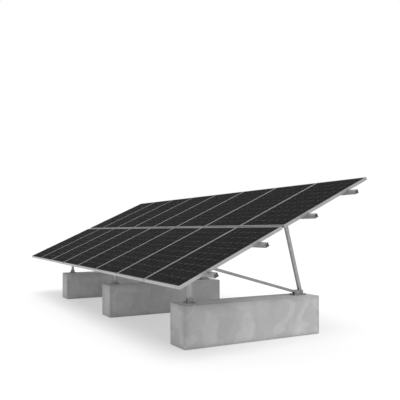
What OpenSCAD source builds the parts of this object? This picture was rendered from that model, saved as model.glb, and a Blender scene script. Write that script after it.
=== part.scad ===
// Ground-mounted solar table on three precast concrete ballast blocks.
// Each block carries a frame of two posts, a rafter and a diagonal brace.
// Purlins cross the three rafters and hold two rows of framed modules.
// X runs along the table, Y up its slope, Z up. The origin is the centre of the footprint, on the ground.

/* [Solar modules] */
// Width of one module, along the table
module_w = 992; // [900:1:1100]
// Length of one module, up the slope
module_l = 1640; // [1580:1:1700]
// Gap between neighbouring modules in a row
column_gap = 20; // [16:1:30]
// Gap between the two rows of modules
row_gap = 40; // [10:1:80]
// Height of the aluminium module frame
frame_h = 40; // [30:1:50]
// Thickness of the frame's walls and bottom flange
frame_wall = 2; // [1.5:0.1:2.5]
// Width of the lip that shows round the glass, and of the hollow chamber under it
lip_w = 11; // [8:0.5:13]
// Thickness of the lip over the glass and of the seat under it
lip_t = 1.6; // [1.2:0.1:2.5]
// Height of the frame's hollow chamber, from its seat down
chamber_h = 18; // [10:1:19]
// Width of the frame's bottom flange
flange_w = 30; // [27:1:40]
// Clearance of each frame bar at its mitred ends
mitre_fit = 0.1; // [0.05:0.05:0.3]
// Length of the slots in the bottom flange
slot_l = 14; // [10:1:20]
// Width of the slots in the bottom flange
slot_w = 9; // [6:0.5:10]
// Distance of the inner slots from the middle of a long bar
slot_near = 240; // [150:1:400]
// Distance of the outer slots from the middle of a long bar
slot_far = 590; // [450:1:700]
// Thickness of the glass and cell laminate
laminate_t = 5; // [4:0.1:7]
// Clearance between the laminate's faces and its groove
laminate_fit = 0.2; // [0.1:0.05:0.3]
// Clearance between the laminate's edge and the frame's wall
laminate_edge = 1.5; // [1:0.1:3]
// Length of the junction box, along the table
box_l = 120; // [90:1:160]
// Width of the junction box, up the slope
box_w = 76; // [60:1:100]
// Depth of the junction box below the laminate
box_h = 20; // [14:1:24]
// Distance of the junction box's centre from the module's upper end
box_inset = 150; // [100:1:180]
// Step between the junction box and its lid
box_lid = 4; // [2:1:6]
// Corner radius of the junction box
box_r = 8; // [4:1:12]
// Diameter of the box's cable glands
gland_d = 12; // [8:1:13]
// Length of the glands out of the box
gland_l = 12; // [6:1:20]

/* [Table] */
// Slope of the modules, in degrees
tilt = 25; // [22:0.5:28]
// Height of the table's low edge above the ground
low_edge_h = 975; // [965:1:1100]
// Distance between neighbouring frames
frame_pitch = 2930; // [2600:1:3100]

/* [Ballast blocks] */
// Width of a block
block_w = 440; // [300:1:600]
// Length of a block, front to back
block_l = 2400; // [2350:1:2600]
// Height of a block
block_h = 600; // [540:1:600]
// Chamfer on the block's edges
block_chamfer = 12; // [5:1:25]
// Distance of the block's front end behind the table's low edge
block_front = 554; // [450:1:600]

/* [Posts and braces] */
// Outer width of the square posts
post_w = 52; // [50:1:70]
// Wall of the post, brace and cross brace tubes
tube_t = 3; // [2:0.5:4]
// Outer corner radius of the square tubes
tube_r = 6; // [4.5:0.5:8]
// Length of a tube past the centre of its end bolt
tube_end = 30; // [26:1:32]
// Distance of the front posts behind the low edge
front_post_y = 748; // [700:1:800]
// Distance of the rear posts' feet behind the low edge
rear_foot_y = 2752; // [2700:1:2790]
// Place of the rear posts' heads, up the slope
rear_head_s = 2578; // [2450:1:2640]
// Depth of the diagonal brace's tube, seen from the side
brace_d = 40; // [30:1:44]
// Length of the diagonal brace past the centre of its end bolt
brace_end = 25; // [22:1:25]
// Distance between the bolts of the rear post and the brace at the rear foot
rear_bolt_pitch = 96; // [92:1:110]
// Distance of the brace's head bolt behind the front post's centre
lug_reach = 100; // [96:1:120]
// Distance of the brace's head bolt below the rafter
lug_drop = 32; // [32:1:45]
// Thickness of the lugs on the front post
lug_t = 6; // [4:1:10]
// Width of the lugs on the front post
lug_w = 50; // [40:1:56]
// Outer diameter of the cross brace tubes
cross_d = 38; // [30:1:44]
// Distance of the cross braces' bolts from the post's face
cross_reach = 55; // [45:1:80]
// Height of the cross braces' lower bolts above the foot bolt
cross_low = 130; // [110:1:200]
// Distance of the cross braces' upper bolts below the head bolt
cross_high = 150; // [130:1:250]
// Thickness of the cross braces' tabs and of their lugs
tab_t = 8; // [6:1:12]
// Width of the cross braces' tabs
tab_w = 50; // [46:1:60]
// Distance of the cross braces' tubes from their bolts
tab_l = 70; // [60:1:90]
// Length of the tab inside its tube
tab_in = 40; // [30:1:60]
// Height of the cross braces' lugs
lug_side = 70; // [60:1:76]

/* [Rafters and purlins] */
// Height of the rafter's section
rafter_h = 76; // [76:1:90]
// Thickness of the rafter's sheet
rafter_t = 4; // [3:0.5:5]
// Outer bend radius of the rafter
rafter_r = 7; // [5.5:0.5:10]
// Length of a rafter past the centres of its outer purlins
rafter_overhang = 110; // [90:1:200]
// Depth of the head bolts below the rafter's top
head_bolt_drop = 46; // [46:1:50]
// Height of a purlin's section
purlin_h = 52; // [42:1:60]
// Width of a purlin's section, up the slope
purlin_w = 62; // [50:1:70]
// Thickness of the purlin's sheet
purlin_t = 2.5; // [2:0.25:3]
// Outer bend radius of the purlin
purlin_r = 4.5; // [3.5:0.5:6]
// Height of the lips that stiffen the purlin's open side
purlin_lip = 12; // [8:1:14]
// Length of a purlin past the outer modules
purlin_overhang = 142; // [60:1:300]
// Distance of each row's lower purlin from the modules' lower end
purlin_low = 430; // [300:1:450]
// Distance of each row's upper purlin from the modules' upper end
purlin_high = 404; // [390:1:520]

/* [Feet] */
// Width of a foot's base plate
plate_w = 160; // [150:1:200]
// Thickness of a foot's base plate
plate_t = 10; // [8:1:14]
// Corner radius of a foot's base plate
plate_r = 12; // [5:1:20]
// Length of a foot's base plate past its outer bolts
plate_margin = 72; // [68:1:90]
// Thickness of a foot's upright ears
ear_t = 6; // [5:1:10]
// Length of an ear past its bolts
ear_margin = 38; // [34:1:42]
// Height of the foot bolts above the block
foot_bolt_h = 50; // [48:1:60]
// Height of an ear above its bolts
ear_top = 30; // [24:1:40]
// Chamfer on an ear's upper corners
ear_chamfer = 14; // [5:1:20]
// Distance of the anchor bolts from the plate's edges
anchor_inset = 24; // [22:1:26]
// Depth of the anchor bolts in the concrete
anchor_depth = 125; // [80:1:180]

/* [Fasteners] */
// Diameter of the pivot and anchor bolts
bolt_d = 16; // [12:1:18]
// Diameter of the cross braces' bolts
cross_bolt_d = 12; // [10:1:14]
// Diameter of the cleat bolts
cleat_bolt_d = 10; // [8:1:12]
// Diameter of the clamp screws
screw_d = 8; // [6:1:10]
// Clearance round each bolt in its hole
bolt_fit = 0.25; // [0.1:0.05:0.3]
// Clearance between a tube's sides and what holds it
side_fit = 0.25; // [0.1:0.05:0.3]
// Clearance between a nut and its bolt
thread_fit = 0.1; // [0.05:0.01:0.2]
// Length of the legs of a purlin cleat
cleat_leg = 42; // [38:1:42]
// Thickness of a purlin cleat
cleat_t = 5; // [4:1:6]
// Width of a purlin cleat, along the purlin
cleat_w = 50; // [40:1:60]
// Length of a module clamp, up the slope
clamp_l = 50; // [30:1:60]
// Thickness of a module clamp's wings and floor
clamp_t = 3; // [2:0.5:4]
// Thickness of the walls of a middle clamp's trough
clamp_wall = 2; // [1.5:0.5:2]
// Reach of a module clamp over the frame's lip
clamp_grip = 8; // [5:0.5:8]
// Depth of a middle clamp's trough below the frame's top
clamp_depth = 25; // [22:1:28]
// Length of an end clamp's foot
clamp_foot = 30; // [26:1:40]
// Depth of the hexagon socket in a clamp screw's head
socket_depth = 4; // [2:0.5:5]

/* [Hidden] */
$fn = 48;
columns = 8;
rows = 2;
frame_names = ["left", "middle", "right"];
cut = 1;                                   // how far a cutting solid runs past the face it cuts

head_ratio = 0.64;                         // a bolt head's height, as a share of its diameter
nut_ratio = 0.85;                          // a nut's height, as a share of its diameter
hex_ratio = 1.5;                           // a head's width across flats, as a share of its diameter
flange_ratio = 1.9;                        // diameter of a flanged head or nut, as a share of the bolt's
flange_share = 0.2;                        // the flange's share of the height of a head or nut
tail_ratio = 0.25;                         // how far a bolt's end stands past its nut
screw_ratio = 0.75;                        // radius of a screw's head, as a share of the screw's diameter

column_pitch = module_w + column_gap;
row_pitch = module_l + row_gap;
table_w = columns * module_w + (columns - 1) * column_gap;
slope_l = rows * module_l + (rows - 1) * row_gap;
low_edge_y = -(slope_l * cos(tilt) + frame_h * sin(tilt)) / 2;
frame_x = [for (i = [0 : 2]) (i - 1) * frame_pitch];

rafter_depth = frame_h + purlin_h;         // depth of the rafter's top below the modules' top
rafter_under = rafter_depth + rafter_h;    // depth of the rafter's lower edges
bolt_depth = rafter_depth + head_bolt_drop;
purlin_s = [purlin_low, module_l - purlin_high, row_pitch + purlin_low, row_pitch + module_l - purlin_high];
rafter_s0 = purlin_s[0] - rafter_overhang;
rafter_s1 = purlin_s[3] + rafter_overhang;
purlin_l = table_w + 2 * purlin_overhang;

bolt_hole = bolt_d + 2 * bolt_fit;
inner_w = post_w + 2 * side_fit;           // space between the ears and between the rafter's walls
foot_outer = inner_w + 2 * ear_t;
rafter_w = inner_w + 2 * rafter_t;
lug_outer = post_w + 2 * lug_t;
brace_w = post_w - 2 * side_fit;           // the brace fits between the front post's lugs

// Height and distance behind the low edge of a point at s up the slope, at a depth below the modules' top
function slope_point(s, depth) =
    [s * cos(tilt) + depth * sin(tilt), low_edge_h + s * sin(tilt) - depth * cos(tilt)];

foot_z = block_h + foot_bolt_h;
rear_foot = [rear_foot_y, foot_z];
rear_head = slope_point(rear_head_s, bolt_depth);
rear_l = norm(rear_head - rear_foot);
rear_lean = atan2(rear_foot[0] - rear_head[0], rear_head[1] - rear_foot[1]);
front_head_s = (front_post_y - bolt_depth * sin(tilt)) / cos(tilt);
front_head = slope_point(front_head_s, bolt_depth);
front_l = front_head[1] - foot_z;
lug_depth = rafter_under + lug_drop;
lug_y = front_post_y + lug_reach;
lug_s = (lug_y - lug_depth * sin(tilt)) / cos(tilt);
brace_head = slope_point(lug_s, lug_depth);
brace_foot = [rear_foot_y - rear_bolt_pitch, foot_z];
brace_l = norm(brace_head - brace_foot);
brace_drop = atan2(brace_head[1] - brace_foot[1], brace_foot[0] - brace_head[0]);

// The cross braces lie in the plane of the rear posts: x along the table, then height up the posts
cross_low_point = [post_w / 2 + cross_reach, cross_low];
cross_high_point = [frame_pitch - post_w / 2 - cross_reach, rear_l - cross_high];
cross_l = norm(cross_high_point - cross_low_point);
cross_rise = atan2(cross_high_point[1] - cross_low_point[1], cross_high_point[0] - cross_low_point[0]);

// The cleats' bolts stand in the middle of the free part of each leg
cleat_bolt_z = (cleat_leg + cleat_t) / 2;  // from the rafter up to the purlin's bolt
cleat_bolt_s = purlin_w / 2 + cleat_bolt_z; // from a purlin's centre down to the rafter's bolt
mid_x = [for (c = [1 : columns - 1]) -table_w / 2 + c * column_pitch - column_gap / 2];
end_screw_x = table_w / 2 + side_fit + clamp_t + (clamp_foot - clamp_t) / 2;

anchor_x = plate_w / 2 - anchor_inset;
front_plate = [-plate_margin, plate_margin];
rear_plate = [-rear_bolt_pitch - plate_margin, plate_margin];

// ---- Placing ----

// Puts children at a distance y behind the low edge and a height z
module at(x, y, z) translate([x, low_edge_y + y, z]) children();

// Puts children on the modules' top plane, at s up the slope and a depth below it
module on_slope(x, s, depth) at(0, 0, low_edge_h) rotate([tilt, 0, 0]) translate([x, s, -depth]) children();

// Lays a profile of (y, z) along X, centred
module along_x(l) translate([-l / 2, 0, 0]) rotate([90, 0, 90]) linear_extrude(l) children();

// Lays a profile of (x, z) along Y, from s0 to s1
module along_y(s0, s1) translate([0, s1, 0]) rotate([90, 0, 0]) linear_extrude(s1 - s0) children();

// A round bar along X, centred
module rod_x(d, l) translate([-l / 2, 0, 0]) rotate([0, 90, 0]) cylinder(d = d, h = l);

// A round bar along Y, centred
module rod_y(d, l) translate([0, l / 2, 0]) rotate([90, 0, 0]) cylinder(d = d, h = l);

// Both sides of the table's middle plane
module both_sides() {
    children();
    mirror([1, 0, 0]) children();
}

// ---- Sections and plates ----

module rounded_rect(w, h, r) {
    translate([-w / 2 + r, -h / 2]) square([w - 2 * r, h]);
    translate([-w / 2, -h / 2 + r]) square([w, h - 2 * r]);
    for (x = [-1, 1], y = [-1, 1]) translate([x * (w / 2 - r), y * (h / 2 - r)]) circle(r);
}

module box_section(w, h) {
    difference() {
        rounded_rect(w, h, tube_r);
        rounded_rect(w - 2 * tube_t, h - 2 * tube_t, tube_r - tube_t);
    }
}

// A rectangle on y = 0 with its two upper corners cut off
module ear_shape(y0, y1, h) {
    polygon([[y0, 0], [y1, 0], [y1, h - ear_chamfer], [y1 - ear_chamfer, h],
             [y0 + ear_chamfer, h], [y0, h - ear_chamfer]]);
}

// ---- Fasteners ----

// A flanged hexagon: the head or the nut of a bolt, standing on z = 0
module flanged_hex(d, h) {
    cylinder(d = flange_ratio * d, h = flange_share * h);
    cylinder(d = hex_ratio * d / cos(30), h = h, $fn = 6);
}

module flanged_nut(d) {
    difference() {
        flanged_hex(d, nut_ratio * d);
        translate([0, 0, -cut]) cylinder(d = d + 2 * thread_fit, h = nut_ratio * d + 2 * cut);
    }
}

// A bolt from above through a grip that starts at z = 0, with its nut below
module bolt_and_nut(d, grip) {
    flanged_hex(d, head_ratio * d);
    translate([0, 0, -grip - (nut_ratio + tail_ratio) * d])
        cylinder(d = d, h = grip + (nut_ratio + tail_ratio) * d);
    translate([0, 0, -grip]) mirror([0, 0, 1]) flanged_nut(d);
}

// The same bolt along X, with its head on the +X side
module bolt_x(d, grip) translate([grip / 2, 0, 0]) rotate([0, 90, 0]) bolt_and_nut(d, grip);

// ---- Ballast ----

module ballast_block(x) {
    side = block_chamfer * sqrt(2);
    color("silver") difference() {
        at(x - block_w / 2, block_front, 0) cube([block_w, block_l, block_h]);
        for (y = [0, block_l], z = [0, block_h])
            at(x, block_front + y, z) rotate([45, 0, 0]) cube([block_w + 2 * cut, side, side], center = true);
        for (i = [-1, 1], z = [0, block_h])
            at(x + i * block_w / 2, block_front + block_l / 2, z)
                rotate([0, 45, 0]) cube([side, block_l + 2 * cut, side], center = true);
        for (i = [-1, 1], y = [0, block_l])
            at(x + i * block_w / 2, block_front + y, block_h / 2)
                rotate([0, 0, 45]) cube([side, side, block_h + 2 * cut], center = true);
        anchor_places(x) translate([0, 0, -anchor_depth - cut])
            cylinder(d = bolt_hole, h = anchor_depth + 2 * cut);
    }
}

// Puts children at the four anchors of both feet of a frame, on top of the block
module anchor_places(x) {
    for (i = [-1, 1], y = front_plate)
        at(x + i * anchor_x, front_post_y + y - sign(y) * anchor_inset, block_h) children();
    for (i = [-1, 1], y = rear_plate)
        at(x + i * anchor_x, rear_foot_y + y - sign(y) * anchor_inset, block_h) children();
}

// ---- Feet ----

// A welded foot: base plate and two ears, for bolts at the places in bolt_y
module foot(plate, bolt_y) {
    ear_h = foot_bolt_h + ear_top;
    difference() {
        union() {
            translate([0, (plate[0] + plate[1]) / 2, 0])
                linear_extrude(plate_t) rounded_rect(plate_w, plate[1] - plate[0], plate_r);
            for (x = [-1, 1]) translate([x * (inner_w + ear_t) / 2, 0, 0])
                along_x(ear_t) ear_shape(min(bolt_y) - ear_margin, max(bolt_y) + ear_margin, ear_h);
        }
        for (y = bolt_y) translate([0, y, foot_bolt_h]) rod_x(bolt_hole, foot_outer + 2 * cut);
        for (x = [-1, 1], y = plate) translate([x * anchor_x, y - sign(y) * anchor_inset, -cut])
            cylinder(d = bolt_hole, h = plate_t + 2 * cut);
    }
}

module foot_brackets() color("dimgray") for (x = frame_x) {
    at(x, front_post_y, block_h) foot(front_plate, [0]);
    at(x, rear_foot_y, block_h) foot(rear_plate, [-rear_bolt_pitch, 0]);
}

module anchor_bolts() color("darkgray") for (x = frame_x) anchor_places(x) {
    translate([0, 0, -anchor_depth])
        cylinder(d = bolt_d, h = anchor_depth + plate_t + (nut_ratio + tail_ratio) * bolt_d);
    translate([0, 0, plate_t]) flanged_nut(bolt_d);
}

// ---- Posts and braces ----

// A square tube up Z, with a bolt through each end
module post_tube(l) {
    difference() {
        translate([0, 0, -tube_end]) linear_extrude(l + 2 * tube_end) box_section(post_w, post_w);
        for (z = [0, l]) translate([0, 0, z]) rod_x(bolt_hole, post_w + 2 * cut);
    }
}

// The front post, with a pair of welded lugs for the head of the brace
module front_post(x) {
    color("darkgray") at(x, front_post_y, foot_z) {
        post_tube(front_l);
        translate([0, lug_reach, brace_head[1] - foot_z]) rotate([tilt, 0, 0])
            for (i = [-1, 1]) translate([i * (post_w + lug_t) / 2, 0, 0]) along_x(lug_t) difference() {
                union() {
                    translate([-lug_reach / cos(tilt), -lug_w / 2]) square([lug_reach / cos(tilt), lug_w]);
                    circle(d = lug_w);
                }
                circle(d = bolt_hole);
            }
    }
}

// Puts children in the plane of a frame's rear post: z up the post from its foot bolt
module at_rear_post(x) at(x, rear_foot[0], rear_foot[1]) rotate([rear_lean, 0, 0]) children();

// A lug welded to the side of a rear post, for a cross brace's bolt at height z
module cross_lug(z) {
    difference() {
        translate([post_w / 2, 0, z]) rotate([90, 0, 0]) translate([0, 0, -tab_t / 2]) linear_extrude(tab_t)
            polygon([[0, -lug_side / 2], [cross_reach, -lug_side / 2],
                     [cross_reach + lug_side / 2, 0], [cross_reach, lug_side / 2], [0, lug_side / 2]]);
        translate([post_w / 2 + cross_reach, 0, z]) rod_y(cross_bolt_d + 2 * bolt_fit, tab_t + 2 * cut);
    }
}

// The rear post: the outer ones hold the cross braces' heads, the middle one their feet
module rear_post(i) {
    color("darkgray") at_rear_post(frame_x[i]) {
        post_tube(rear_l);
        if (i == 0) cross_lug(rear_l - cross_high);
        if (i == 1) both_sides() cross_lug(cross_low);
        if (i == 2) mirror([1, 0, 0]) cross_lug(rear_l - cross_high);
    }
}

module diagonal_brace(x) {
    color("darkgray") at(x, brace_foot[0], brace_foot[1]) rotate([90 - brace_drop, 0, 0]) difference() {
        translate([0, 0, -brace_end]) linear_extrude(brace_l + 2 * brace_end) box_section(brace_w, brace_d);
        for (z = [0, brace_l]) translate([0, 0, z]) rod_x(bolt_hole, brace_w + 2 * cut);
    }
}

// The right cross brace, from the middle post's foot to the right post's head: a tube with flat end tabs
module cross_brace() {
    tube_l = cross_l - 2 * tab_l;
    color("darkgray") at_rear_post(0) translate([cross_low_point[0], tab_t, cross_low_point[1]])
        rotate([0, 90 - cross_rise, 0]) difference() {
            union() {
                translate([0, 0, tab_l]) difference() {
                    cylinder(d = cross_d, h = tube_l);
                    translate([0, 0, -cut]) cylinder(d = cross_d - 2 * tube_t, h = tube_l + 2 * cut);
                }
                for (z = [0, cross_l - tab_l - tab_in])
                    translate([-tab_w / 2, -tab_t / 2, z]) cube([tab_w, tab_t, tab_l + tab_in]);
                for (z = [0, cross_l]) translate([0, 0, z]) rod_y(tab_w, tab_t);
            }
            for (z = [0, cross_l]) translate([0, 0, z]) rod_y(cross_bolt_d + 2 * bolt_fit, tab_t + 2 * cut);
        }
}

module pivot_bolts() color("gray") {
    for (x = frame_x) {
        at(x, front_post_y, foot_z) bolt_x(bolt_d, foot_outer);
        at(x, rear_foot[0], rear_foot[1]) bolt_x(bolt_d, foot_outer);
        at(x, brace_foot[0], brace_foot[1]) bolt_x(bolt_d, foot_outer);
        at(x, brace_head[0], brace_head[1]) bolt_x(bolt_d, lug_outer);
        on_slope(x, front_head_s, bolt_depth) bolt_x(bolt_d, rafter_w);
        on_slope(x, rear_head_s, bolt_depth) bolt_x(bolt_d, rafter_w);
    }
    // A cross brace's tab lies behind its lug, so the bolt's head stands on the tab's far face
    both_sides() at_rear_post(0) for (p = [cross_low_point, cross_high_point])
        translate([p[0], tab_t + tab_t / 2, p[1]]) rotate([-90, 0, 0]) bolt_and_nut(cross_bolt_d, 2 * tab_t);
}

// ---- Rafters ----

// A channel that opens downwards, with its top at y = 0: the upper half of a box twice its height
module rafter_section() {
    difference() {
        translate([0, -rafter_h]) rounded_rect(rafter_w, 2 * rafter_h, rafter_r);
        translate([0, -rafter_h]) rounded_rect(inner_w, 2 * (rafter_h - rafter_t), rafter_r - rafter_t);
        translate([-rafter_w, -3 * rafter_h]) square([2 * rafter_w, 2 * rafter_h]);
    }
}

module rafter(x) {
    color("darkgray") on_slope(x, 0, rafter_depth) difference() {
        along_y(rafter_s0, rafter_s1) rafter_section();
        for (s = [front_head_s, rear_head_s])
            translate([0, s, -head_bolt_drop]) rod_x(bolt_hole, rafter_w + 2 * cut);
        for (s = purlin_s) translate([0, s - cleat_bolt_s, -rafter_t - cut])
            cylinder(d = cleat_bolt_d + 2 * bolt_fit, h = rafter_t + 2 * cut);
    }
}

// ---- Purlins ----

// A lipped channel with its web down the slope, top face at z = 0
module purlin_section() {
    difference() {
        translate([0, -purlin_h / 2]) rounded_rect(purlin_w, purlin_h, purlin_r);
        translate([0, -purlin_h / 2])
            rounded_rect(purlin_w - 2 * purlin_t, purlin_h - 2 * purlin_t, purlin_r - purlin_t);
        translate([0, -purlin_h + purlin_lip]) square([purlin_w, purlin_h - 2 * purlin_lip]);
    }
}

module purlin(s) {
    color("darkgray") on_slope(0, s, frame_h) difference() {
        along_x(purlin_l) purlin_section();
        for (x = concat(mid_x, [-end_screw_x, end_screw_x])) translate([x, 0, -purlin_t - cut])
            cylinder(d = screw_d + 2 * bolt_fit, h = purlin_t + 2 * cut);
        for (x = frame_x) translate([x, -purlin_w / 2 + purlin_t / 2, cleat_bolt_z - purlin_h])
            rod_y(cleat_bolt_d + 2 * bolt_fit, purlin_t + 2 * cut);
    }
}

// Puts children where a purlin's web meets a rafter's top
module at_crossings() for (x = frame_x, s = purlin_s) on_slope(x, s - purlin_w / 2, rafter_depth) children();

module purlin_cleats() color("gray") at_crossings() difference() {
    translate([-cleat_w / 2, -cleat_leg, 0]) difference() {
        cube([cleat_w, cleat_leg, cleat_leg]);
        translate([-cut, -cut, cleat_t]) cube([cleat_w + 2 * cut, cleat_leg - cleat_t + cut, cleat_leg]);
    }
    translate([0, -cleat_bolt_z, -cut]) cylinder(d = cleat_bolt_d + 2 * bolt_fit, h = cleat_t + 2 * cut);
    translate([0, -cleat_t / 2, cleat_bolt_z]) rod_y(cleat_bolt_d + 2 * bolt_fit, cleat_t + 2 * cut);
}

module cleat_bolts() color("gray") at_crossings() {
    translate([0, -cleat_bolt_z, cleat_t]) bolt_and_nut(cleat_bolt_d, cleat_t + rafter_t);
    translate([0, -cleat_t, cleat_bolt_z]) rotate([90, 0, 0]) bolt_and_nut(cleat_bolt_d, cleat_t + purlin_t);
}

// ---- Modules ----

module at_module(r, c) on_slope(-table_w / 2 + (c - 1) * column_pitch, (r - 1) * row_pitch, 0) children();

// The section of a frame bar: y from its outer face inwards, z down from its top
module frame_section() {
    seat = lip_t + laminate_t + 2 * laminate_fit;
    translate([0, -frame_h]) square([frame_wall, frame_h]);
    translate([0, -frame_h]) square([flange_w, frame_wall]);
    translate([0, -lip_t]) square([lip_w, lip_t]);
    difference() {
        translate([0, -seat - chamber_h]) square([lip_w, chamber_h]);
        translate([frame_wall, -seat - chamber_h + frame_wall])
            square([lip_w - 2 * frame_wall, chamber_h - frame_wall - lip_t]);
    }
}

// An obround slot along X
module obround(l, w) {
    translate([-(l - w) / 2, -w / 2]) square([l - w, w]);
    for (x = [-1, 1]) translate([x * (l - w) / 2, 0]) circle(d = w);
}

// An extruded frame bar of length l along X, mitred at both ends, with slots in its bottom flange
module frame_bar(l, slots) {
    difference() {
        intersection() {
            rotate([90, 0, 90]) linear_extrude(l) frame_section();
            translate([0, 0, -frame_h]) linear_extrude(frame_h)
                polygon([[mitre_fit, 0], [l - mitre_fit, 0], [l - mitre_fit - flange_w, flange_w],
                         [mitre_fit + flange_w, flange_w]]);
        }
        for (x = slots) translate([l / 2 + x, (lip_w + flange_w) / 2, -frame_h - cut])
            linear_extrude(frame_wall + 2 * cut) obround(slot_l, slot_w);
    }
}

// Four mitred bars round the laminate
module module_frame() color("gainsboro") {
    corners = [[0, 0], [module_w, 0], [module_w, module_l], [0, module_l]];
    for (k = [0, 2]) translate(corners[k]) rotate(90 * k) frame_bar(module_w, []);
    for (k = [1, 3]) translate(corners[k]) rotate(90 * k)
        frame_bar(module_l, [-slot_far, -slot_near, slot_near, slot_far]);
}

// The glass and cell laminate, with the junction box bonded to its back
module laminate() {
    edge = frame_wall + laminate_edge;
    back = -lip_t - laminate_fit - laminate_t;
    color([0.12, 0.12, 0.13]) translate([edge, edge, back])
        cube([module_w - 2 * edge, module_l - 2 * edge, laminate_t]);
    color([0.08, 0.08, 0.08]) translate([module_w / 2, module_l - box_inset, back]) mirror([0, 0, 1]) {
        linear_extrude(box_h - box_lid) rounded_rect(box_l, box_w, box_r);
        linear_extrude(box_h) rounded_rect(box_l - 2 * box_lid, box_w - 2 * box_lid, box_r);
        for (x = [-1, 1]) translate([x * box_l / 4, -box_w / 2, box_h / 2]) rod_y(gland_d, 2 * gland_l);
    }
}

// ---- Module clamps ----

// A top-hat clamp in the gap between two modules, with its screw and nut
module mid_clamp() {
    outer = column_gap / 2 - side_fit;
    wing = column_gap / 2 + clamp_grip;
    inner = outer - clamp_wall;
    difference() {
        along_y(-clamp_l / 2, clamp_l / 2)
            polygon([[-wing, 0], [-outer, 0], [-outer, -clamp_depth], [outer, -clamp_depth],
                     [outer, 0], [wing, 0], [wing, clamp_t], [inner, clamp_t],
                     [inner, clamp_t - clamp_depth], [-inner, clamp_t - clamp_depth],
                     [-inner, clamp_t], [-wing, clamp_t]]);
        translate([0, 0, -clamp_depth - cut]) cylinder(d = screw_d + 2 * bolt_fit, h = clamp_t + 2 * cut);
    }
    translate([0, 0, clamp_t - clamp_depth]) clamp_screw(frame_h - clamp_depth + clamp_t + purlin_t);
}

// A socket screw that stands on z = 0, with a nut below its grip
module clamp_screw(grip) {
    difference() {
        cylinder(r = screw_ratio * screw_d, h = screw_d);
        translate([0, 0, screw_d - socket_depth])
            cylinder(d = screw_ratio * screw_d, h = socket_depth + cut, $fn = 6);
    }
    translate([0, 0, -grip - (nut_ratio + tail_ratio) * screw_d])
        cylinder(d = screw_d, h = grip + (nut_ratio + tail_ratio) * screw_d);
    translate([0, 0, -grip]) mirror([0, 0, 1]) flanged_nut(screw_d);
}

// A Z-shaped clamp over the outer edge of the modules, at x = 0, standing on the purlin
module end_clamp() {
    wall = side_fit + clamp_t;
    foot_end = side_fit + clamp_foot;
    screw_x = end_screw_x - table_w / 2;
    difference() {
        along_y(-clamp_l / 2, clamp_l / 2)
            polygon([[-clamp_grip, 0], [side_fit, 0], [side_fit, -frame_h], [foot_end, -frame_h],
                     [foot_end, clamp_t - frame_h], [wall, clamp_t - frame_h], [wall, clamp_t],
                     [-clamp_grip, clamp_t]]);
        translate([screw_x, 0, -frame_h - cut]) cylinder(d = screw_d + 2 * bolt_fit, h = clamp_t + 2 * cut);
    }
    translate([screw_x, 0, clamp_t - frame_h]) clamp_screw(clamp_t + purlin_t);
}

module mid_clamps() color("lightgray") for (x = mid_x, s = purlin_s) on_slope(x, s, 0) mid_clamp();

module end_clamps() color("lightgray") both_sides()
    for (s = purlin_s) on_slope(table_w / 2, s, 0) end_clamp();

// ---- The assembly ----

for (i = [0 : 2]) {
    ballast_block(frame_x[i]);
    front_post(frame_x[i]);
    rear_post(i);
    diagonal_brace(frame_x[i]);
    rafter(frame_x[i]);
}
foot_brackets();
anchor_bolts();
mirror([1, 0, 0]) cross_brace();  // cross_brace_left
cross_brace();  // cross_brace_right
pivot_bolts();
for (i = [1 : 4]) purlin(purlin_s[i - 1]);
purlin_cleats();
cleat_bolts();
for (r = [1 : rows], c = [1 : columns]) {
    at_module(r, c) module_frame();
    at_module(r, c) laminate();
}
mid_clamps();
end_clamps();
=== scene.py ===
import bmesh
import bpy
import math
from mathutils import Matrix, Vector


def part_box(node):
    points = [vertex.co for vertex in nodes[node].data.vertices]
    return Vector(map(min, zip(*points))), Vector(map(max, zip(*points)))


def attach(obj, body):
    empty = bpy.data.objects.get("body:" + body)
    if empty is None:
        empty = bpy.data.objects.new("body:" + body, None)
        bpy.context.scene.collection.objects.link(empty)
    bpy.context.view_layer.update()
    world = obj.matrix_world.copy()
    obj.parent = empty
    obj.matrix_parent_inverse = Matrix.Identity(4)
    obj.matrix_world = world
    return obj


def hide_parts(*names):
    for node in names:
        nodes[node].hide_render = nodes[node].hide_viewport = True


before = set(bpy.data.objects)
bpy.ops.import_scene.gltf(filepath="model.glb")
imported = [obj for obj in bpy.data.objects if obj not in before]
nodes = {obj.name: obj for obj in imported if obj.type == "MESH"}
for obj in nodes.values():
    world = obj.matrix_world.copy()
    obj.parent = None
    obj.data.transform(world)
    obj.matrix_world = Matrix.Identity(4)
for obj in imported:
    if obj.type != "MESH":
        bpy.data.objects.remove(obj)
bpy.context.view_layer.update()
scene = bpy.context.scene

# ---- Camera ----
# It stands at eye level beyond the table's right-hand end, a little to the front, and looks back along the
# low edge. It is held level and its lens is shifted, so that upright posts stay upright in the view.
camera_place = (9.21, -4.20, 1.612)
camera_pitch = 90
camera_turn = 61.6
camera_lens = 45.94
camera_shift = (0.0328, 0.0772)
camera_reach = 1000
bpy.ops.object.camera_add(location=camera_place,
                          rotation=(math.radians(camera_pitch), 0, math.radians(camera_turn)))
camera = bpy.context.object
camera.data.lens = camera_lens
camera.data.shift_x, camera.data.shift_y = camera_shift
camera.data.clip_end = camera_reach
scene.camera = camera
scene.view_settings.view_transform = "Standard"

# ---- Light ----
# An overcast sky with a broad, soft sun, high on the right and a little to the front.
# The camera sees the sky as plain white, while the table is lit by it and mirrors it at its own strength.
sky_strength = 0.76
white_strength = 1.0
sun_strength = 1.95
sun_spread = 40
sun_to_front = 13
sun_to_right = 30


def add_math(tree, operation, a, b=None):
    """A math node, with sockets or plain numbers on its inputs."""
    node = tree.nodes.new("ShaderNodeMath")
    node.operation = operation
    for socket, value in zip(node.inputs, (a, b)):
        if isinstance(value, (int, float)):
            socket.default_value = value
        elif value is not None:
            tree.links.new(value, socket)
    return node.outputs[0]


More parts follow.
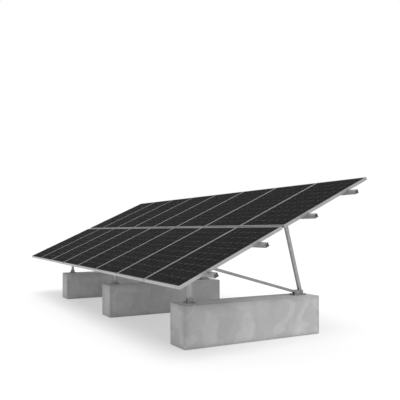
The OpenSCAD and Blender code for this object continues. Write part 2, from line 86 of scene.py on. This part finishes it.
bpy.ops.object.light_add(type="SUN", rotation=(math.radians(sun_to_front), math.radians(sun_to_right), 0))
sun = bpy.context.object
sun.data.energy = sun_strength
sun.data.angle = math.radians(sun_spread)

world = bpy.data.worlds.new("overcast sky")
scene.world = world
world.use_nodes = True
tree = world.node_tree
background = tree.nodes["Background"]
background.inputs["Color"].default_value = (1, 1, 1, 1)
rays = tree.nodes.new("ShaderNodeLightPath")
seen = add_math(tree, "MAXIMUM", rays.outputs["Is Camera Ray"], rays.outputs["Is Transmission Ray"])
strength = tree.nodes.new("ShaderNodeMix")
strength.inputs["A"].default_value = sky_strength
strength.inputs["B"].default_value = white_strength
tree.links.new(seen, strength.inputs["Factor"])
tree.links.new(strength.outputs["Result"], background.inputs["Strength"])

# ---- Floor ----
# A plain pale floor that runs out to the horizon and keeps the table's soft shadow. The camera and
# reflections see it lifted towards white, and the light that it throws back is that of a mid grey ground.
floor_size = 1500
floor_bounce = 0.55
floor_level = 0.86
floor_lift = 0.40


def grey(level):
    """A plain grey of one level, as a colour."""
    return (level, level, level, 1)


bpy.ops.mesh.primitive_plane_add(size=floor_size, location=(0, 0, 0))
floor = bpy.context.object
floor.name = "floor"
floor_paint = bpy.data.materials.new("pale floor")
floor_paint.use_nodes = True
tree = floor_paint.node_tree
tree.nodes.clear()
output = tree.nodes.new("ShaderNodeOutputMaterial")
matt = tree.nodes.new("ShaderNodeBsdfDiffuse")
matt.inputs["Color"].default_value = grey(floor_bounce)
shown = tree.nodes.new("ShaderNodeBsdfDiffuse")
shown.inputs["Color"].default_value = grey(floor_level)
glow = tree.nodes.new("ShaderNodeEmission")
lifted = tree.nodes.new("ShaderNodeMixShader")
lifted.inputs[0].default_value = floor_lift
tree.links.new(shown.outputs[0], lifted.inputs[1])
tree.links.new(glow.outputs[0], lifted.inputs[2])
rays = tree.nodes.new("ShaderNodeLightPath")
seen = add_math(tree, "MAXIMUM", rays.outputs["Is Camera Ray"], rays.outputs["Is Glossy Ray"])
chosen = tree.nodes.new("ShaderNodeMixShader")
tree.links.new(seen, chosen.inputs[0])
tree.links.new(matt.outputs[0], chosen.inputs[1])
tree.links.new(lifted.outputs[0], chosen.inputs[2])
tree.links.new(chosen.outputs[0], output.inputs["Surface"])
floor.data.materials.append(floor_paint)

# ---- Ballast blocks ----
# Precast concrete, cast upside down in a steel mould with chamfered edges and set on the ground by crane.
# The faces are clouded and pitted, with painted shade in the pits, painted light on the tops and painted
# shade towards the edges, and the edges are a little worn.
sides = ("left", "middle", "right")
block_chamfer = 0.012
chamfer_steps = 2
chamfer_fullness = 0.6
block_grid = 0.03
wear_reach = 0.10
wear_depth = 0.003
wear_fade = 6
chip_size = 0.06
chip_detail = 3
chip_contrast = 1.6
chip_middle = 1.3  # over 1, so that the edges only lose concrete
painted_edge_shade_fade = 1.5
sharp_angle = math.radians(30)
cloud_greys = (0.515, 0.595)
drift_grey = 0.68
mottle_grey = 0.43
painted_top_light_grey = 0.72
painted_pit_shade_grey = 0.22
painted_edge_shade_grey = 0.26
painted_pit_shade_share = 0.55
painted_edge_shade_share = 0.36
pits_a_metre = 55
pit_relief = 0.9
grain_relief = 0.3
concrete_shine = 0.25


def paint(name):
    """A new material, with its node tree and its Principled shader."""
    material = bpy.data.materials.new(name)
    material.use_nodes = True
    return material, material.node_tree, material.node_tree.nodes["Principled BSDF"]


def add_noise(tree, vector, scale, detail, roughness=0.5, distortion=0.0):
    """A noise texture, with its scale in features a metre."""
    noise = tree.nodes.new("ShaderNodeTexNoise")
    noise.inputs["Scale"].default_value = scale
    noise.inputs["Detail"].default_value = detail
    noise.inputs["Roughness"].default_value = roughness
    noise.inputs["Distortion"].default_value = distortion
    tree.links.new(vector, noise.inputs["Vector"])
    return noise.outputs["Fac"]


def add_range(tree, value, span, result):
    """Maps a value from a span to a result, each given as (low, high), clamped and with soft ends."""
    node = tree.nodes.new("ShaderNodeMapRange")
    node.interpolation_type = "SMOOTHSTEP"
    tree.links.new(value, node.inputs["Value"])
    for socket, number in zip(("From Min", "From Max", "To Min", "To Max"), (*span, *result)):
        node.inputs[socket].default_value = number
    return node.outputs["Result"]


def add_mix(tree, factor, a, b):
    """Mixes two colours, each given as a grey level, a colour or a socket."""
    node = tree.nodes.new("ShaderNodeMix")
    node.data_type = "RGBA"
    tree.links.new(factor, node.inputs["Factor"])
    first, second, mixed = node.inputs[6], node.inputs[7], node.outputs[2]
    for socket, value in ((first, a), (second, b)):
        if isinstance(value, float):
            socket.default_value = grey(value)
        elif isinstance(value, tuple):
            socket.default_value = (*value, 1)
        else:
            tree.links.new(value, socket)
    return mixed


def add_bump(tree, shader, height, strength, distance):
    """Gives a shader its bump, from a height that changes over the surface."""
    bump = tree.nodes.new("ShaderNodeBump")
    bump.inputs["Strength"].default_value = strength
    bump.inputs["Distance"].default_value = distance
    tree.links.new(height, bump.inputs["Height"])
    tree.links.new(bump.outputs["Normal"], shader.inputs["Normal"])


def cut_across(place, normal):
    """Cuts the whole piece in hand along a plane, which gives it a finer mesh."""
    bpy.ops.mesh.select_all(action="SELECT")
    bpy.ops.mesh.bisect(plane_co=place, plane_no=normal)


concrete, tree, shader = paint("precast concrete")
place = tree.nodes.new("ShaderNodeTexCoord").outputs["Object"]
clouds = add_noise(tree, place, scale=1.5, detail=1.5, distortion=1.2)
drifts = add_noise(tree, place, scale=2.4, detail=0.5, distortion=1.8)
mottle = add_noise(tree, place, scale=16, detail=4, roughness=0.6)
grain = add_noise(tree, place, scale=260, detail=3, roughness=0.7)
clouded = add_range(tree, clouds, span=(0.32, 0.68), result=(0, 1))
drifted = add_range(tree, drifts, span=(0.49, 0.62), result=(0, 0.45))
mottled = add_range(tree, mottle, span=(0.35, 0.75), result=(0, 0.26))
face_grey = add_mix(tree, clouded, *cloud_greys)
face_grey = add_mix(tree, drifted, face_grey, drift_grey)
face_grey = add_mix(tree, mottled, face_grey, mottle_grey)
facing = tree.nodes.new("ShaderNodeSeparateXYZ")
tree.links.new(tree.nodes.new("ShaderNodeNewGeometry").outputs["Normal"], facing.inputs["Vector"])
# Painted light: faces that look upwards are painted paler, as if more light fell on them.
painted_top_light = add_range(tree, facing.outputs["Z"], span=(0.5, 1), result=(0, 0.45))
face_grey = add_mix(tree, painted_top_light, face_grey, painted_top_light_grey)
pits = tree.nodes.new("ShaderNodeTexVoronoi")
pits.inputs["Scale"].default_value = pits_a_metre
tree.links.new(place, pits.inputs["Vector"])
pit_groups = add_noise(tree, place, scale=9, detail=2)
pit_size = add_range(tree, pit_groups, span=(0.45, 0.75), result=(0, 0.22))
pit_mask = add_math(tree, "LESS_THAN", pits.outputs["Distance"], pit_size)
# Painted shade: the pits are painted darker, as the shade inside their hollows.
painted_pit_shade = add_math(tree, "MULTIPLY", pit_mask, painted_pit_shade_share)
face_grey = add_mix(tree, painted_pit_shade, face_grey, painted_pit_shade_grey)
# Painted shade: the grey darkens towards the block's edges and chamfers, where shade falls.
painted_edge_shade = tree.nodes.new("ShaderNodeAttribute")
painted_edge_shade.attribute_name = "edge"
painted_edge_shading = add_math(tree, "MULTIPLY", painted_edge_shade.outputs["Fac"], painted_edge_shade_share)
face_grey = add_mix(tree, painted_edge_shading, face_grey, painted_edge_shade_grey)
tree.links.new(face_grey, shader.inputs["Base Color"])
dullness = add_range(tree, mottle, span=(0.3, 0.8), result=(0.82, 0.95))
tree.links.new(dullness, shader.inputs["Roughness"])
shader.inputs["Specular IOR Level"].default_value = concrete_shine
grain_height = add_math(tree, "MULTIPLY", grain, grain_relief)
pit_depth = add_math(tree, "MULTIPLY", pit_mask, pit_relief)
surface = add_math(tree, "SUBTRACT", grain_height, pit_depth)
add_bump(tree, shader, surface, strength=0.5, distance=0.002)

wear = bpy.data.textures.new("edge wear", "CLOUDS")
wear.noise_scale = chip_size
wear.noise_depth = chip_detail
wear.contrast = chip_contrast

for side in sides:
    low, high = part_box("ballast_" + side)
    bpy.ops.object.select_all(action="DESELECT")
    bpy.ops.mesh.primitive_cube_add(size=1, location=(low + high) / 2, scale=high - low)
    block = bpy.context.object
    block.name = "precast_block_" + side
    bpy.ops.object.transform_apply(location=True, rotation=True, scale=True)
    bpy.ops.object.mode_set(mode="EDIT")
    bpy.ops.mesh.select_all(action="SELECT")
    bpy.ops.mesh.bevel(offset=block_chamfer, segments=chamfer_steps, profile=chamfer_fullness)
    for axis in range(3):
        count = round((high[axis] - low[axis]) / block_grid)
        for step in range(1, count):
            cut_place = low.copy()
            cut_place[axis] += (high[axis] - low[axis]) * step / count
            cut_normal = Vector((0, 0, 0))
            cut_normal[axis] = 1
            cut_across(cut_place, cut_normal)
    bpy.ops.object.mode_set(mode="OBJECT")
    worn = block.vertex_groups.new(name="worn")
    nearness = []
    for vertex in block.data.vertices:
        depths = sorted(min(vertex.co[k] - low[k], high[k] - vertex.co[k]) for k in range(3))
        nearness.append(max(0.0, 1 - depths[1] / wear_reach))
        worn.add([vertex.index], nearness[-1] ** wear_fade, "REPLACE")
    chips = block.modifiers.new("worn edges", "DISPLACE")
    chips.texture = wear
    chips.texture_coords = "LOCAL"
    chips.vertex_group = "worn"
    chips.mid_level = chip_middle
    chips.strength = wear_depth
    bpy.ops.object.modifier_apply(modifier=chips.name)
    # The nearness to an edge is kept as an attribute that drives the painted shade towards the edges.
    shade = block.data.attributes.new("edge", "FLOAT", "POINT")
    shade.data.foreach_set("value", [value ** painted_edge_shade_fade for value in nearness])
    bpy.ops.object.shade_smooth_by_angle(angle=sharp_angle)
    block.data.materials.append(concrete)
    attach(block, "root")
    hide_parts("ballast_" + side)

# ---- Foot brackets ----
# Steel feet, each a plate with two upright ears, galvanised after welding, weathered to a mid grey and
# bolted down to the blocks. The cleats that tie the purlins to the rafters are angles of the same steel.
crystal_share = 0.45
patch_share = 0.55
dullness_swing = 0.07
zinc_metal = 0.75
zinc_relief_height = 0.0004
cool_tint = 1.01


def start_finish(name, inputs):
    """A node group that puts out a metal's colour, roughness and height, with its two end nodes."""
    group = bpy.data.node_groups.new(name, "ShaderNodeTree")
    outputs = (("Color", "NodeSocketColor"),
               ("Roughness", "NodeSocketFloat"),
               ("Height", "NodeSocketFloat"))
    for way, sockets in (("INPUT", inputs), ("OUTPUT", outputs)):
        for socket, kind in sockets:
            group.interface.new_socket(name=socket, in_out=way, socket_type=kind)
    return group, group.nodes.new("NodeGroupInput"), group.nodes.new("NodeGroupOutput")


def finish_metal(name, finish, metallic, relief, relief_height, colors, values):
    """A metal with a finish group on its colour, roughness and bump, and the group's greys and values."""
    material, tree, shader = paint(name)
    coat = tree.nodes.new("ShaderNodeGroup")
    coat.node_tree = finish
    tree.links.new(tree.nodes.new("ShaderNodeTexCoord").outputs["Object"], coat.inputs["Vector"])
    for socket, level in colors.items():
        coat.inputs[socket].default_value = (level, level, level * cool_tint, 1)
    for socket, value in values.items():
        coat.inputs[socket].default_value = value
    tree.links.new(coat.outputs["Color"], shader.inputs["Base Color"])
    tree.links.new(coat.outputs["Roughness"], shader.inputs["Roughness"])
    shader.inputs["Metallic"].default_value = metallic
    add_bump(tree, shader, coat.outputs["Height"], relief, relief_height)
    return material


zinc, given, made = start_finish("zinc crystals", (
    ("Vector", "NodeSocketVector"),
    ("Dark", "NodeSocketColor"),
    ("Light", "NodeSocketColor"),
    ("Crystals", "NodeSocketFloat"),
    ("Dullness", "NodeSocketFloat"),
))
crystals = zinc.nodes.new("ShaderNodeTexVoronoi")
zinc.links.new(given.outputs["Vector"], crystals.inputs["Vector"])
zinc.links.new(given.outputs["Crystals"], crystals.inputs["Scale"])
tone = zinc.nodes.new("ShaderNodeSeparateColor")
zinc.links.new(crystals.outputs["Color"], tone.inputs["Color"])
patches = add_noise(zinc, given.outputs["Vector"], scale=5, detail=4, roughness=0.6)
crystal_tone = add_math(zinc, "MULTIPLY", tone.outputs["Red"], crystal_share)
patch_tone = add_range(zinc, patches, span=(0.3, 0.7), result=(0, patch_share))
blend = add_math(zinc, "ADD", crystal_tone, patch_tone)
zinc.links.new(add_mix(zinc, blend, given.outputs["Dark"], given.outputs["Light"]), made.inputs["Color"])
swing = add_range(zinc, tone.outputs["Green"], span=(0, 1), result=(-dullness_swing, dullness_swing))
zinc.links.new(add_math(zinc, "ADD", given.outputs["Dullness"], swing), made.inputs["Roughness"])
fine = add_noise(zinc, given.outputs["Vector"], scale=400, detail=2)
zinc.links.new(add_math(zinc, "ADD", tone.outputs["Blue"], fine), made.inputs["Height"])


def zinc_coat(name, dark, light, crystals, dullness, relief):
    """A galvanised finish: zinc crystals of two greys, so many a metre, with their dullness and relief."""
    return finish_metal(name, zinc, zinc_metal, relief, zinc_relief_height,
                        colors={"Dark": dark, "Light": light},
                        values={"Crystals": crystals, "Dullness": dullness})


def dress(names, material):
    """Gives CAD pieces their finish."""
    for name in names:
        nodes[name].data.materials.clear()
        nodes[name].data.materials.append(material)


foot_zinc = zinc_coat("weathered zinc", dark=0.32, light=0.44, crystals=90, dullness=0.58, relief=0.5)
dress(["foot_brackets", "purlin_cleats"], foot_zinc)

# ---- Foot welds ----
# Fillet welds that run along the outside of each ear and close it to the base plate.
# They are laid by hand, galvanised with the foot, and keep the ripples of the weld pool.
plate_thickness = 0.010
plate_margin = 0.072
ear_margin = 0.038
ear_spread = 0.0645
rear_pitch = 0.096
bead_radius = 0.0045
bead_sides = 12
bead_step = 0.0025
ripple_depth = 0.0012
ripple_size = 0.004
bead_sharp_angle = math.radians(50)
low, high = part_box("foot_brackets")
bead_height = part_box("ballast_left")[1].z + plate_thickness
foot_ends = {"front": (low.y + plate_margin, low.y + plate_margin),
             "rear": (high.y - plate_margin - rear_pitch, high.y - plate_margin)}


def place_copy(model, name, placement):
    """A copy of a modelled piece, with a mesh of its own that is moved to its place."""
    piece = model.copy()
    piece.data = model.data.copy()
    piece.data.transform(placement)
    piece.name = name
    scene.collection.objects.link(piece)
    return piece


ripple = bpy.data.textures.new("weld ripple", "WOOD")
ripple.noise_scale = ripple_size
for foot, (first_bolt, last_bolt) in foot_ends.items():
    start = first_bolt - ear_margin
    end = last_bolt + ear_margin
    bpy.ops.object.select_all(action="DESELECT")
    bpy.ops.mesh.primitive_cylinder_add(vertices=bead_sides, radius=bead_radius, depth=end - start,
                                        location=(0, (start + end) / 2, bead_height),
                                        rotation=(math.pi / 2, 0, 0))
    bead = bpy.context.object
    bpy.ops.object.transform_apply(location=True, rotation=True, scale=True)
    bpy.ops.object.mode_set(mode="EDIT")
    for step in range(1, round((end - start) / bead_step)):
        cut_across((0, start + step * bead_step, 0), (0, 1, 0))
    bpy.ops.mesh.select_all(action="SELECT")
    bpy.ops.mesh.normals_make_consistent(inside=False)
    bpy.ops.object.mode_set(mode="OBJECT")
    waves = bead.modifiers.new("ripple", "DISPLACE")
    waves.texture = ripple
    waves.texture_coords = "LOCAL"
    waves.strength = ripple_depth
    bpy.ops.object.modifier_apply(modifier=waves.name)
    bpy.ops.object.shade_smooth_by_angle(angle=bead_sharp_angle)
    bead.data.materials.append(foot_zinc)
    for side in sides:
        centre = sum(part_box("ballast_" + side), Vector()).x / 2
        for ear, reach in (("a", -ear_spread / 2), ("b", ear_spread / 2)):
            weld_name = "foot_weld_%s_%s_%s" % (foot, side, ear)
            weld = place_copy(bead, weld_name, Matrix.Translation((centre + reach, 0, 0)))
            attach(weld, "root")
    bpy.data.objects.remove(bead)

# ---- Bolts ----
# Galvanised steel with fine zinc crystals. Anchor rods stand in the concrete, with a flanged nut on each.
# Pivot bolts and cleat bolts go through the pieces that they join, and a nut draws them up.
bolt_zinc = zinc_coat("bolt zinc", dark=0.32, light=0.46, crystals=260, dullness=0.42, relief=0.3)
dress(["anchor_bolts", "pivot_bolts", "cleat_bolts"], bolt_zinc)

# ---- Posts and rafters ----
# Posts are square tubes and rafters folded channels, of hot-dip galvanised steel with soft zinc crystals.
# They are cut and drilled before the zinc bath, and bolted at the feet and through the posts' heads.
post_zinc = zinc_coat("hot-dip zinc", dark=0.34, light=0.48, crystals=70, dullness=0.48, relief=0.4)
dress([kind + side for kind in ("front_post_", "rear_post_", "rafter_") for side in sides], post_zinc)

# ---- Braces ----
# Galvanised tubes, square for the diagonals and round with flat end tabs for the two across the back.
# They are bolted to the feet and the posts, are a little duller than the posts, and are painted a little
# darker as painted shade.
# Painted shade: the braces' zinc is a darker copy of the posts' zinc, standing in for shade on the same
# steel.
brace_zinc_painted_shade = zinc_coat("zinc painted darker as shade", dark=0.29, light=0.41, crystals=70, dullness=0.55, relief=0.4)
dress(["diagonal_brace_" + side for side in sides], brace_zinc_painted_shade)
dress(["cross_brace_left", "cross_brace_right"], brace_zinc_painted_shade)

# ---- Purlins ----
# Lipped channels rolled from zinc-coated strip and bolted to the cleats on the rafters.
# Their crystals are smaller and their faces smoother than those of the dipped tubes.
purlin_zinc = zinc_coat("strip zinc", dark=0.26, light=0.38, crystals=130, dullness=0.40, relief=0.2)
purlin_numbers = (1, 2, 3, 4)
dress(["purlin_%d" % number for number in purlin_numbers], purlin_zinc)

# ---- Purlin end plates ----
# Pressed steel cups that close the purlins' open ends, coloured very dark as painted shade.
# Each one is pushed in between the flanges, mouth outwards, until it is just inside the end.
purlin_size = (0.062, 0.052)
purlin_sheet = 0.0025
table_tilt = math.radians(25)
plate_fit = 0.0003
cup_depth = 0.016
cup_inset = 0.001
cup_wall = 0.003
cup_corner = 0.004
cup_corner_steps = 4
mouth_facing = 0.9
# Painted shade: the cups' zinc is painted nearly black, as the shade inside an open end.
painted_shade_plate_zinc = zinc_coat("end plates painted dark as shade", dark=0.13, light=0.20, crystals=90, dullness=0.60,
                       relief=0.4)
cup_size = Vector((cup_depth, *(size - 2 * (purlin_sheet + plate_fit) for size in purlin_size)))
bpy.ops.object.select_all(action="DESELECT")
bpy.ops.mesh.primitive_cube_add(size=1, scale=cup_size)
cup = bpy.context.object
bpy.ops.object.transform_apply(location=True, rotation=True, scale=True)
bpy.ops.object.mode_set(mode="EDIT")
bpy.ops.mesh.select_mode(type="EDGE")
mesh = bmesh.from_edit_mesh(cup.data)
for edge in mesh.edges:
    across = edge.verts[0].co - edge.verts[1].co
    edge.select_set(abs(across.x) > cup_depth / 2)
bpy.ops.mesh.bevel(offset=cup_corner, segments=cup_corner_steps)
bpy.ops.mesh.select_mode(type="FACE")
mesh = bmesh.from_edit_mesh(cup.data)
for face in mesh.faces:
    face.select_set(face.normal.x > mouth_facing)
bpy.ops.mesh.inset(thickness=cup_wall)
bpy.ops.mesh.extrude_region_move(TRANSFORM_OT_translate={"value": (cup_wall - cup_depth, 0, 0)})
bpy.ops.object.mode_set(mode="OBJECT")
bpy.ops.object.shade_smooth_by_angle(angle=sharp_angle)
cup.data.materials.append(painted_shade_plate_zinc)
lean = Matrix.Rotation(table_tilt, 4, "X")
for number in purlin_numbers:
    low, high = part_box("purlin_%d" % number)
    for end, reach, turn in (("left", low.x, math.pi), ("right", high.x, 0)):
        centre = (low + high) / 2
        centre.x = reach + math.copysign(cup_inset + cup_depth / 2, centre.x - reach)
        placement = Matrix.Translation(centre) @ lean @ Matrix.Rotation(turn, 4, "Z")
        plate = place_copy(cup, "purlin_end_plate_%d_%s" % (number, end), placement)
        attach(plate, "root")
bpy.data.objects.remove(cup)

# ---- Module frames and clamps ----
# Extruded aluminium bars, mitred and keyed at the corners. They are clear anodised: pale, satin and almost
# even, with a faint haze. The clamps are cut from a like bar and screwed down on the frames' lips.
module_rows = 2
module_columns = 8
frame_grey = 0.42
clamp_grey = 0.36
satin_metal = 0.8
satin_relief = 0.1
satin_relief_height = 0.0002

satin, given, made = start_finish("satin aluminium", (
    ("Vector", "NodeSocketVector"),
    ("Color", "NodeSocketColor"),
))
haze = add_noise(satin, given.outputs["Vector"], scale=3, detail=3)
speck = add_noise(satin, given.outputs["Vector"], scale=900, detail=2)
dim = satin.nodes.new("ShaderNodeHueSaturation")
satin.links.new(given.outputs["Color"], dim.inputs["Color"])
satin.links.new(add_range(satin, haze, span=(0.3, 0.7), result=(0.92, 1.06)), dim.inputs["Value"])
satin.links.new(dim.outputs["Color"], made.inputs["Color"])
satin.links.new(add_range(satin, speck, span=(0.3, 0.7), result=(0.32, 0.46)), made.inputs["Roughness"])
satin.links.new(speck, made.inputs["Height"])


def anodised(name, level):
    """A satin aluminium finish of one grey level."""
    return finish_metal(name, satin, satin_metal, satin_relief, satin_relief_height,
                        colors={"Color": level}, values={})


places = [(row, column) for row in range(1, module_rows + 1) for column in range(1, module_columns + 1)]
frame_satin = anodised("anodised frame", frame_grey)
clamp_satin = anodised("clamp aluminium", clamp_grey)
dress(["module_frame_%d_%d" % row_and_column for row_and_column in places], frame_satin)
dress(["mid_clamps", "end_clamps"], clamp_satin)

# ---- Laminates ----
# Textured glass, bonded over black cells with their ribbons and a film and sealed into the frame's slot.
# The film is white at the back, and a black junction box is bonded to it there.
frame_depth = 0.040
module_size = (0.992, 1.640)
module_pitch = (1.012, 1.680)
cell_counts = (6, 10)
cell_size = 0.1565
cell_pitch = 0.159
cell_corner = 0.012
ribbon_width = 0.0012
ribbons = 5
glass_depth = 0.003
back_depth = 0.0072
glass_gloss = 0.036
glass_blur = 0.18
cell_colors = ((0.006, 0.006, 0.007), (0.012, 0.012, 0.013))
gap_grey = 0.09
ribbon_grey = 0.13
film_colors = ((0.66, 0.66, 0.65), (0.72, 0.72, 0.71))
box_color = (0.025, 0.025, 0.026)

laminate, tree, shader = paint("cells under glass")
low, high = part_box("module_frame_1_1")
first_corner = (low.x, low.y, low.z + frame_depth * math.cos(table_tilt))
mapping = tree.nodes.new("ShaderNodeMapping")
mapping.vector_type = "TEXTURE"
mapping.inputs["Location"].default_value = first_corner
mapping.inputs["Rotation"].default_value = (table_tilt, 0, 0)
tree.links.new(tree.nodes.new("ShaderNodeTexCoord").outputs["Object"], mapping.inputs["Vector"])
along = tree.nodes.new("ShaderNodeSeparateXYZ")
tree.links.new(mapping.outputs["Vector"], along.inputs["Vector"])
offsets = []
inside = []
for axis, count in enumerate(cell_counts):
    margin = (module_size[axis] - count * cell_pitch + cell_pitch - cell_size) / 2
    in_table = add_math(tree, "MODULO", along.outputs[axis], module_pitch[axis])
    in_module = add_math(tree, "SUBTRACT", in_table, margin)
    in_cell = add_math(tree, "MODULO", in_module, cell_pitch)
    offset = add_math(tree, "SUBTRACT", in_cell, cell_size / 2)
    offsets.append(offset)
    inside.append(add_math(tree, "LESS_THAN", add_math(tree, "ABSOLUTE", offset), cell_size / 2))
    inside.append(add_math(tree, "GREATER_THAN", in_module, 0.0))
    inside.append(add_math(tree, "LESS_THAN", in_module, count * cell_pitch))
diamond = add_math(tree, "ADD", *(add_math(tree, "ABSOLUTE", offset) for offset in offsets))
cell_mask = add_math(tree, "LESS_THAN", diamond, cell_size - cell_corner)
for mask in inside:
    cell_mask = add_math(tree, "MULTIPLY", cell_mask, mask)
strip = add_math(tree, "MODULO", add_math(tree, "ADD", offsets[0], cell_size), cell_size / ribbons)
strip = add_math(tree, "ABSOLUTE", add_math(tree, "SUBTRACT", strip, cell_size / ribbons / 2))
ribbon_mask = add_math(tree, "MULTIPLY", add_math(tree, "LESS_THAN", strip, ribbon_width / 2), cell_mask)
cell_tone = add_noise(tree, mapping.outputs["Vector"], scale=7, detail=2)
front = add_mix(tree, cell_mask, gap_grey, add_mix(tree, cell_tone, *cell_colors))
front = add_mix(tree, ribbon_mask, front, ribbon_grey)
film_tone = add_noise(tree, mapping.outputs["Vector"], scale=12, detail=3)
is_box = add_math(tree, "LESS_THAN", along.outputs[2], -back_depth)
back = add_mix(tree, is_box, add_mix(tree, film_tone, *film_colors), box_color)
is_front = add_math(tree, "GREATER_THAN", along.outputs[2], -glass_depth)
tree.links.new(add_mix(tree, is_front, back, front), shader.inputs["Base Color"])
film_dullness = add_range(tree, film_tone, span=(0.3, 0.7), result=(0.50, 0.60))
tree.links.new(film_dullness, shader.inputs["Roughness"])
shader.inputs["Specular IOR Level"].default_value = 0.0
tree.links.new(add_math(tree, "MULTIPLY", is_front, glass_gloss), shader.inputs["Coat Weight"])
shader.inputs["Coat Roughness"].default_value = glass_blur
dress(["laminate_%d_%d" % row_and_column for row_and_column in places], laminate)
